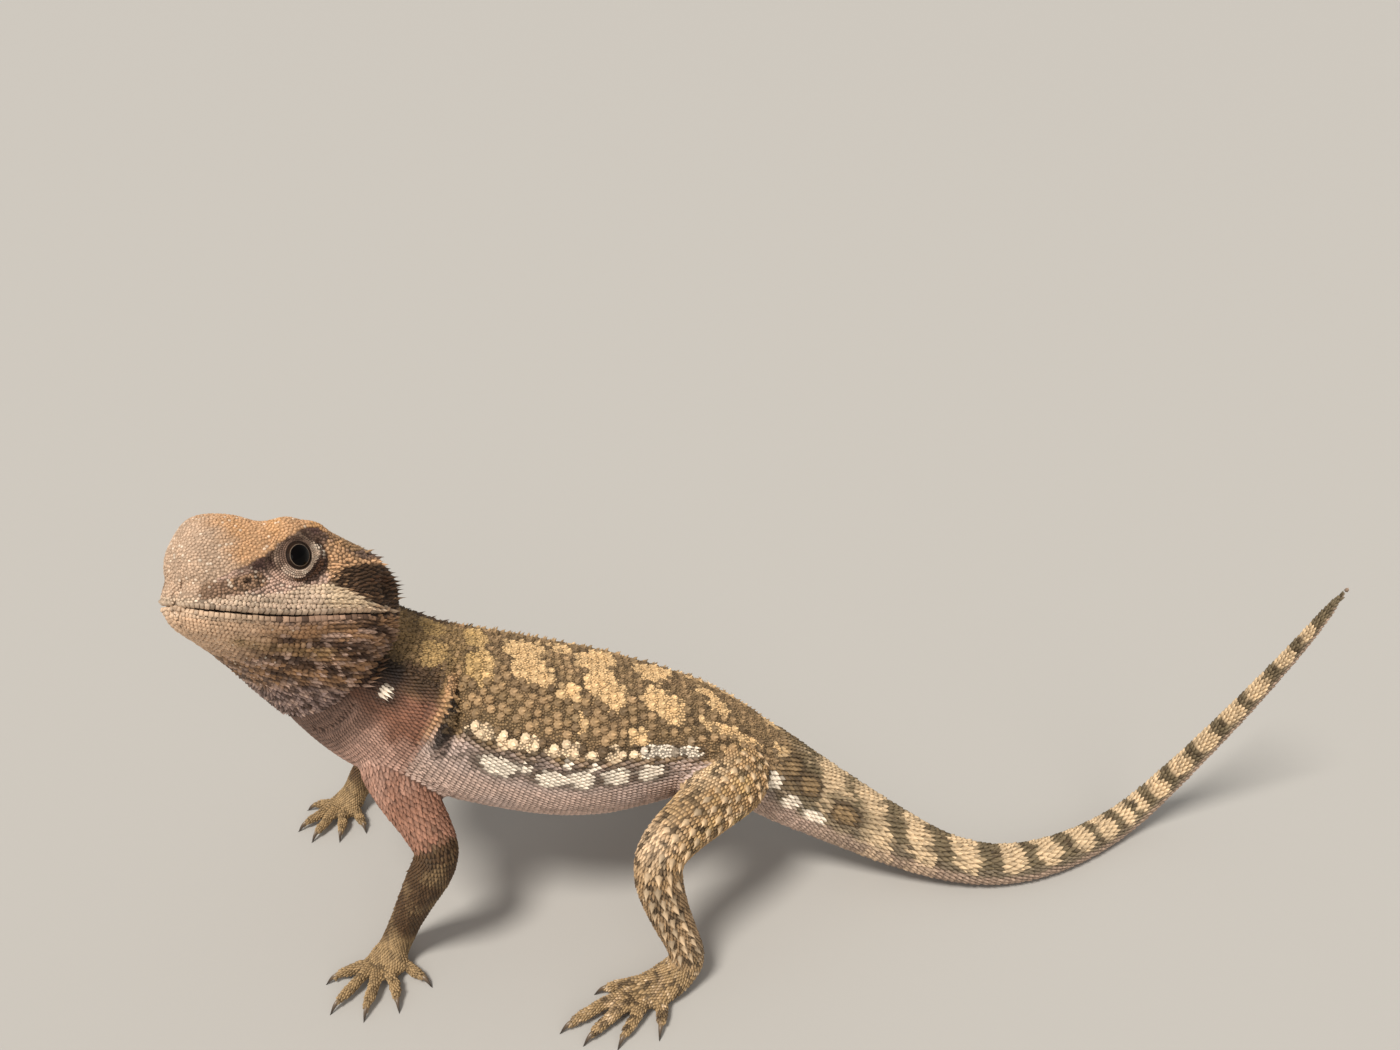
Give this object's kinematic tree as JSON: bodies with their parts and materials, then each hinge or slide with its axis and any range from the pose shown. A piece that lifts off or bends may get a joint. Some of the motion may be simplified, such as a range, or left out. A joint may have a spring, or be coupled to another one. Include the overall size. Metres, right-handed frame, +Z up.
{
  "type": "rankins dragon",
  "caption": "Still life-size model of a Rankin's dragon lizard, standing with its fore body and head raised and its banded tail tip lifted.",
  "frame": {"origin": "on the floor under the middle of the whole animal's box", "axes": "+Z up, +X towards the tail, the head looks towards -X and to its left, the animal's left side faces -Y"},
  "size_m": [0.1906, 0.0774, 0.0836],
  "materials": {
    "head_skin": "fine dry scales, tan to orange-brown, paler lips, dark temple",
    "beard_skin": "small keeled scales, olive and pinkish tan with lengthwise brown streaks, lavender-grey throat",
    "shoulder_skin": "matte folded skin with rhombic salmon-brown scales and a dark net between them",
    "trunk_skin": "dry keeled scales, olive-tan with pale yellow blotches, cream flank spots and a lilac-grey belly",
    "tail_skin": "keeled scales in rings, cream bands on dark olive",
    "limb_skin": "keeled scales, olive brown with cream tips",
    "eye": "wet gloss, black pupil in a dark brown iris with a thin pale ring",
    "claw": "dark horn, satin"
  },
  "bodies": {
    "root": {"eye_left": "eye", "eye_right": "eye", "foot_left": "limb_skin", "foot_right": "limb_skin", "forearm_left": "limb_skin", "forearm_right": "limb_skin", "hand_left": "limb_skin", "hand_right": "limb_skin", "head": "head_skin", "lower_jaw": "beard_skin", "neck": "shoulder_skin", "shin_left": "limb_skin", "shin_right": "limb_skin", "tail_1": "tail_skin", "tail_2": "tail_skin", "tail_3": "tail_skin", "tail_4": "tail_skin", "tail_5": "tail_skin", "thigh_left": "limb_skin", "thigh_right": "limb_skin", "torso_front": "trunk_skin", "torso_rear": "trunk_skin", "upper_arm_left": "limb_skin", "upper_arm_right": "limb_skin"}
  },
  "joints": []
}
